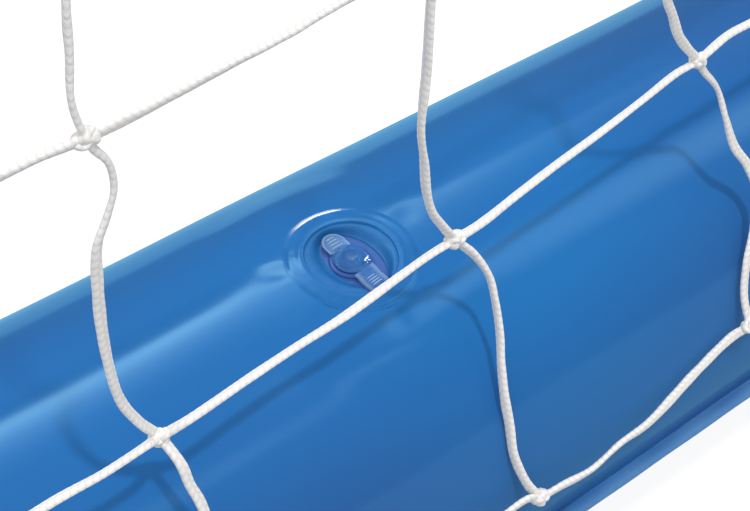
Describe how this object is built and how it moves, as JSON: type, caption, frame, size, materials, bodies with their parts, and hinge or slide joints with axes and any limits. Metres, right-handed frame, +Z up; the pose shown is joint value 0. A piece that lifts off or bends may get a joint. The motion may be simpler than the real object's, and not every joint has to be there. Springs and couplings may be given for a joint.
{
  "type": "inflatable pool volleyball net",
  "caption": "Inflatable blue frame with cross floats and posts, carrying a slack knotted white net, with push-in air valves.",
  "frame": {"origin": "on the ground, in the middle of the footprint", "axes": "+X along the net to the right, +Y from front to back, +Z up; the net hangs on the front side"},
  "size_m": [2.4, 0.64, 0.91],
  "materials": {
    "blue_film": "glossy blue PVC film, 0.4 mm",
    "tab_film": "blue PVC film, doubled and welded",
    "valve_flange": "glossy blue moulded vinyl, welded to the film",
    "valve_clear": "clear soft vinyl, bare of lettering",
    "cord": "white twisted cord, 3 mm, knotted",
    "eyelet_metal": "nickel-plated pressed eyelet"
  },
  "bodies": {
    "frame_and_net": {"base_tube": "blue_film", "float_left": "blue_film", "float_right": "blue_film", "post_left": "blue_film", "post_right": "blue_film", "net": "cord", "tab_left_lower": "tab_film", "eyelet_left_lower": "eyelet_metal", "tie_left_lower": "cord", "tab_left_upper": "tab_film", "eyelet_left_upper": "eyelet_metal", "tie_left_upper": "cord", "anchor_eyelet_left_front": "eyelet_metal", "anchor_eyelet_left_back": "eyelet_metal", "tab_right_lower": "tab_film", "eyelet_right_lower": "eyelet_metal", "tie_right_lower": "cord", "tab_right_upper": "tab_film", "eyelet_right_upper": "eyelet_metal", "tie_right_upper": "cord", "anchor_eyelet_right_front": "eyelet_metal", "anchor_eyelet_right_back": "eyelet_metal", "valve_base_flange": "valve_flange", "valve_left_flange": "valve_flange", "valve_right_flange": "valve_flange"},
    "base_valve_stem": {"valve_base_stem": "valve_clear"},
    "base_valve_plug": {"valve_base_plug": "valve_clear"},
    "base_valve_flap": {"valve_base_flap": "valve_clear"},
    "left_valve_stem": {"valve_left_stem": "valve_clear"},
    "left_valve_plug": {"valve_left_plug": "valve_clear"},
    "left_valve_flap": {"valve_left_flap": "valve_clear"},
    "right_valve_stem": {"valve_right_stem": "valve_clear"},
    "right_valve_plug": {"valve_right_plug": "valve_clear"},
    "right_valve_flap": {"valve_right_flap": "valve_clear"}
  },
  "joints": [
    {"name": "base_valve_out", "type": "slide", "parent": "frame_and_net", "child": "base_valve_stem", "axis": [0, -0.1736, 0.9848], "range_m": [0, 0.01]},
    {"name": "base_plug_hinge", "type": "hinge", "parent": "base_valve_stem", "child": "base_valve_plug", "pos_m": [0.48441, -0.02306, 0.13648], "axis": [0.9925, 0.12, 0.0212], "range_deg": [0, 110]},
    {"name": "base_flap_hinge", "type": "hinge", "parent": "base_valve_stem", "child": "base_valve_flap", "pos_m": [0.483, -0.00365, 0.12609], "axis": [1, 0, 0], "range_deg": [0, 60], "stiffness_Nm_per_rad": 0.00002, "springref_deg": -28.65},
    {"name": "left_valve_out", "type": "slide", "parent": "frame_and_net", "child": "left_valve_stem", "axis": [0, 0, 1], "range_m": [0, 0.01]},
    {"name": "left_plug_hinge", "type": "hinge", "parent": "left_valve_stem", "child": "left_valve_plug", "pos_m": [-1.10651, -0.17141, 0.1965], "axis": [0.1219, -0.9925, 0], "range_deg": [0, 110]},
    {"name": "left_flap_hinge", "type": "hinge", "parent": "left_valve_stem", "child": "left_valve_flap", "pos_m": [-1.0892, -0.17, 0.1829], "axis": [0, -1, 0], "range_deg": [0, 60], "stiffness_Nm_per_rad": 0.00002, "springref_deg": -28.65},
    {"name": "right_valve_out", "type": "slide", "parent": "frame_and_net", "child": "right_valve_stem", "axis": [0, 0, 1], "range_m": [0, 0.01]},
    {"name": "right_plug_hinge", "type": "hinge", "parent": "right_valve_stem", "child": "right_valve_plug", "pos_m": [1.10651, -0.16859, 0.1965], "axis": [-0.1219, 0.9925, 0], "range_deg": [0, 110]},
    {"name": "right_flap_hinge", "type": "hinge", "parent": "right_valve_stem", "child": "right_valve_flap", "pos_m": [1.0892, -0.17, 0.1829], "axis": [0, 1, 0], "range_deg": [0, 60], "stiffness_Nm_per_rad": 0.00002, "springref_deg": -28.65}
  ]
}
